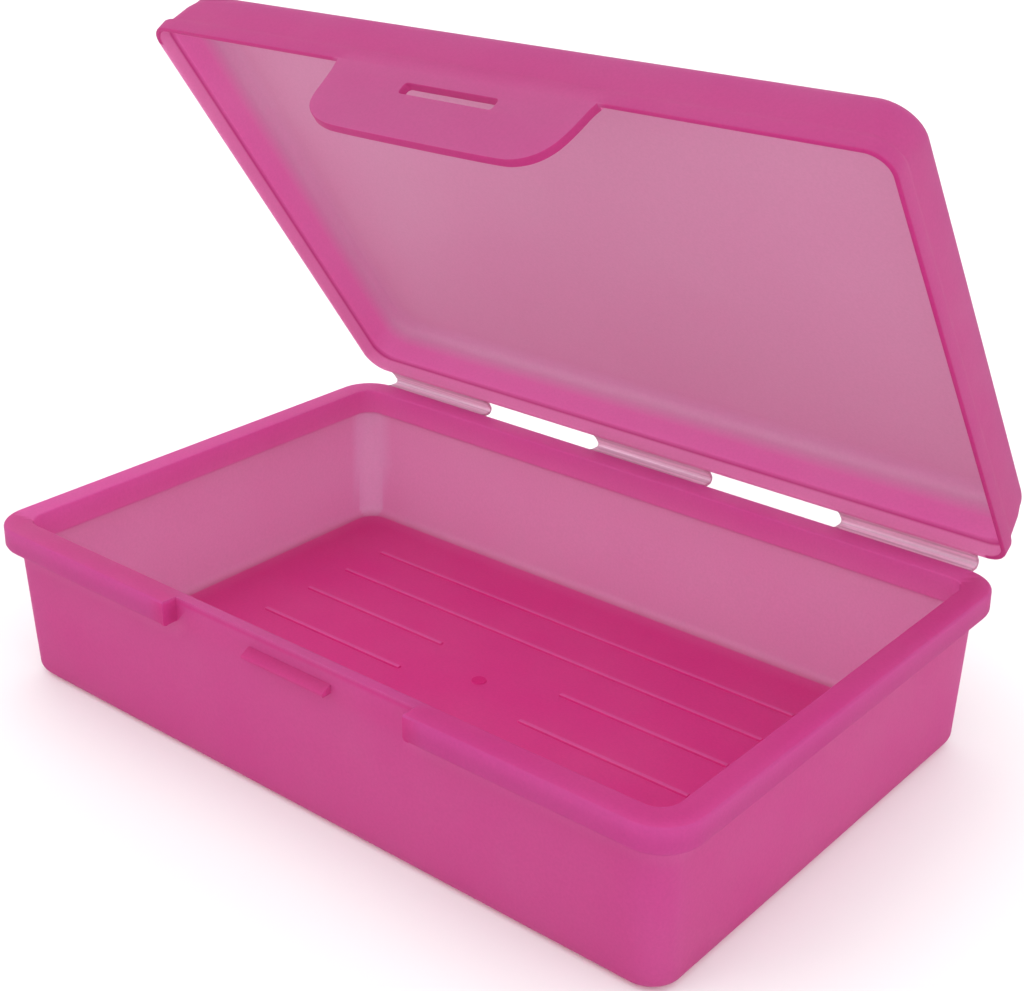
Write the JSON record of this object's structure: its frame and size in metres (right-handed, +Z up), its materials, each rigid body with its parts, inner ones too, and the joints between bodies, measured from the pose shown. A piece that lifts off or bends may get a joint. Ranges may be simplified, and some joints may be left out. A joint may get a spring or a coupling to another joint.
{
  "type": "pencil case",
  "caption": "Rectangular translucent plastic pencil case: shallow tray with a rolled rim, and a hinged lid held open, with a snap latch tab on its front edge.",
  "frame": {"origin": "centre of the face the tray stands on", "axes": "+X along the length to the right, +Y to the back where the hinges are, -Y the front with the catch, +Z up"},
  "size_m": [0.216, 0.1539, 0.1698],
  "materials": {
    "tinted_polypropylene": "frosted, translucent"
  },
  "bodies": {
    "base": {"base_tray": "tinted_polypropylene", "catch_ridge": "tinted_polypropylene", "tray_hinge_leaf_left": "tinted_polypropylene", "tray_hinge_leaf_centre": "tinted_polypropylene", "tray_hinge_leaf_right": "tinted_polypropylene", "hinge_film_left": "tinted_polypropylene", "hinge_film_centre": "tinted_polypropylene", "hinge_film_right": "tinted_polypropylene"},
    "lid": {"lid_shell": "tinted_polypropylene", "lid_hinge_leaf_left": "tinted_polypropylene", "lid_hinge_leaf_centre": "tinted_polypropylene", "lid_hinge_leaf_right": "tinted_polypropylene"},
    "latch": {"latch_tab": "tinted_polypropylene"}
  },
  "joints": [
    {"name": "lid_hinge", "type": "hinge", "parent": "base", "child": "lid", "pos_m": [0, 0.0739, 0.0438], "axis": [-1, 0, 0], "range_deg": [-55.5, 124.5]},
    {"name": "latch_flex", "type": "hinge", "parent": "lid", "child": "latch", "pos_m": [0, -0.008, 0.16103], "axis": [-1, 0, 0], "range_deg": [0, 12], "stiffness_Nm_per_rad": 1.5}
  ]
}
